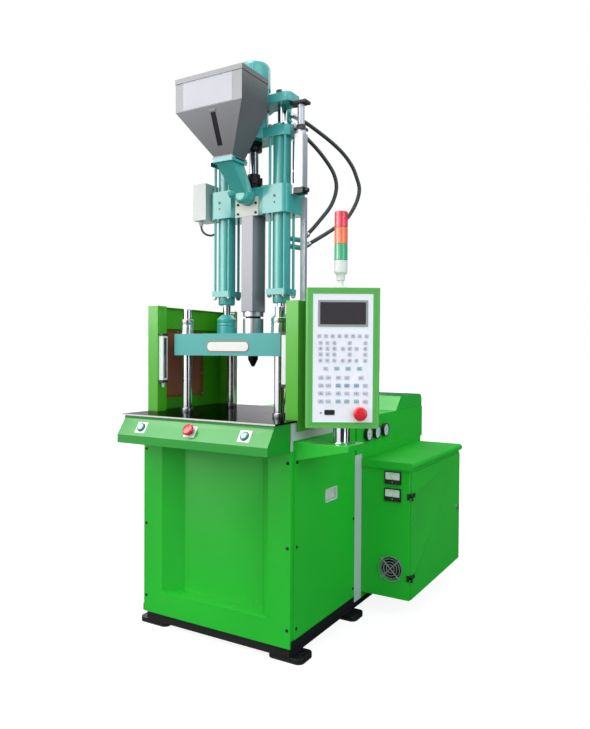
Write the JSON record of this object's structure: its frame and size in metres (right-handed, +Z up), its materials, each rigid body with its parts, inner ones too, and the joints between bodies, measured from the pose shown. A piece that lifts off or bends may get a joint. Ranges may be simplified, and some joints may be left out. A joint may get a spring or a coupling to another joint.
{
  "type": "vertical injection moulding machine",
  "caption": "Vertical injection moulding machine with a platen on tie bars, an upright injection unit and hopper, a side cabinet and a swivelling control panel.",
  "frame": {"origin": "middle of the footprint, on the floor under the feet", "axes": "+X to the operator's right, +Y to the back of the machine, +Z up"},
  "size_m": [0.932, 1.3864, 2.106],
  "materials": {
    "green_paint": "smooth gloss sprayed enamel, lightly orange-peeled",
    "teal_paint": "gloss machine enamel over castings",
    "black_paint": "satin black enamel",
    "grey_paint": "satin light grey enamel",
    "table_steel": "ground and blued, slightly reflective, bright edge",
    "bright_steel": "turned, bright",
    "chrome_bar": "hard chromed and polished",
    "stainless_sheet": "fine brushed stainless sheet",
    "cover_sheet": "brushed sheet, folded",
    "anodised": "clear anodised extrusion with black end caps",
    "dark_steel": "heat-darkened steel",
    "heater_steel": "bright jacket, heat tinted",
    "brown_acrylic": "tinted acrylic sheet",
    "white_plastic": "fine satin",
    "keypad_film": "printed membrane film, semi-gloss",
    "black_plastic": "satin moulded",
    "red_plastic": "moulded, glossy",
    "start_plastic": "moulded, glossy",
    "device_plastic": "moulded housings on a zinc-plated plate",
    "hose_rubber": "braided hydraulic hose, satin",
    "motor_paint": "satin grey-blue enamel"
  },
  "bodies": {
    "base": {"base_skid": "black_paint", "frame_posts": "grey_paint", "front_panel": "green_paint", "side_panels": "green_paint", "table_plate": "table_steel", "bed_plate": "grey_paint", "guide_bushes": "bright_steel", "console": "green_paint", "button_bezels": "chrome_bar", "guards": "green_paint", "guard_windows": "brown_acrylic", "light_curtains": "white_plastic", "clamp_cylinder": "teal_paint", "oil_tank": "green_paint", "pump_motor": "motor_paint", "rear_box": "green_paint", "rear_cover": "green_paint", "instrument_cases": "black_plastic", "cabinet": "green_paint", "switchgear": "device_plastic", "fan_guard": "chrome_bar", "panel_arm": "green_paint", "panel_pole": "chrome_bar"},
    "fan": {"fan_rotor": "black_plastic"},
    "door": {"cabinet_door": "green_paint"},
    "lock": {"door_lock": "bright_steel"},
    "start_button_left": {"start_button_left": "start_plastic"},
    "start_button_right": {"start_button_right": "start_plastic"},
    "console_stop": {"console_stop": "red_plastic"},
    "panel": {"panel_case": "green_paint", "panel_overlay": "keypad_film", "light_tower": "white_plastic"},
    "panel_stop": {"panel_stop": "red_plastic"},
    "platen": {"platen": "teal_paint", "tie_bars": "chrome_bar", "tie_bar_nuts": "bright_steel", "lower_crosshead": "teal_paint", "carriage_rods": "chrome_bar", "rod_caps": "teal_paint"},
    "carriage": {"carriage_cylinders": "teal_paint", "cross_block": "teal_paint", "injection_cylinders": "teal_paint", "barrel": "dark_steel", "nozzle": "dark_steel", "heater_cover": "cover_sheet", "band_heaters": "heater_steel", "hopper": "stainless_sheet", "feed_chute": "teal_paint", "junction_box": "grey_paint", "transducers": "anodised", "hose_upper": "hose_rubber", "hose_lower": "hose_rubber"},
    "injector": {"crosshead": "teal_paint", "injection_rods": "chrome_bar", "drive_motor": "teal_paint", "transducer_rod": "black_paint"},
    "screw": {"screw": "chrome_bar", "coupling": "black_paint"},
    "hopper_lid": {"hopper_lid": "stainless_sheet"},
    "slide_gate": {"slide_gate": "bright_steel"}
  },
  "joints": [
    {"name": "clamp_slide", "type": "slide", "parent": "base", "child": "platen", "axis": [0, 0, 1], "range_m": [-0.15, 0]},
    {"name": "nozzle_slide", "type": "slide", "parent": "platen", "child": "carriage", "axis": [0, 0, 1], "range_m": [0, 0.1]},
    {"name": "injection_slide", "type": "slide", "parent": "carriage", "child": "injector", "axis": [0, 0, 1], "range_m": [-0.07, 0], "deforming": ["hose_upper", "hose_lower"]},
    {"name": "screw_spin", "type": "hinge", "parent": "injector", "child": "screw", "pos_m": [-0.11096, -0.3015, 1.8], "axis": [0, 0, 1], "continuous": true},
    {"name": "hopper_lid_hinge", "type": "hinge", "parent": "carriage", "child": "hopper_lid", "pos_m": [-0.30526, -0.45, 2.0063], "axis": [0, -1, 0], "range_deg": [0, 105]},
    {"name": "gate_slide", "type": "slide", "parent": "carriage", "child": "slide_gate", "axis": [-1, 0, 0], "range_m": [0, 0.072]},
    {"name": "start_left_press", "type": "slide", "parent": "base", "child": "start_button_left", "axis": [0, 0.8297, -0.5582], "range_m": [0, 0.004], "stiffness_N_per_m": 600, "springref_m": -0.002},
    {"name": "start_right_press", "type": "slide", "parent": "base", "child": "start_button_right", "axis": [0, 0.8297, -0.5582], "range_m": [0, 0.004], "stiffness_N_per_m": 600, "springref_m": -0.002},
    {"name": "console_stop_press", "type": "slide", "parent": "base", "child": "console_stop", "axis": [0, 0.8297, -0.5582], "range_m": [0, 0.005], "stiffness_N_per_m": 600, "springref_m": -0.002},
    {"name": "panel_swivel", "type": "hinge", "parent": "base", "child": "panel", "pos_m": [0.34904, -0.4665, 0.782], "axis": [0, 0, 1], "range_deg": [-60, 60]},
    {"name": "panel_stop_press", "type": "slide", "parent": "panel", "child": "panel_stop", "axis": [-0.5075, 0.8616, 0], "range_m": [0, 0.005], "stiffness_N_per_m": 600, "springref_m": -0.002},
    {"name": "door_hinge", "type": "hinge", "parent": "base", "child": "door", "pos_m": [0.42204, -0.0085, 0.475], "axis": [0, 0, -1], "range_deg": [0, 110]},
    {"name": "lock_turn", "type": "hinge", "parent": "door", "child": "lock", "pos_m": [0.41504, 0.5845, 0.32], "axis": [-1, 0, 0], "range_deg": [0, 90]},
    {"name": "fan_spin", "type": "hinge", "parent": "base", "child": "fan", "pos_m": [0.33904, 0.0005, 0.19], "axis": [0, 1, 0], "continuous": true}
  ]
}
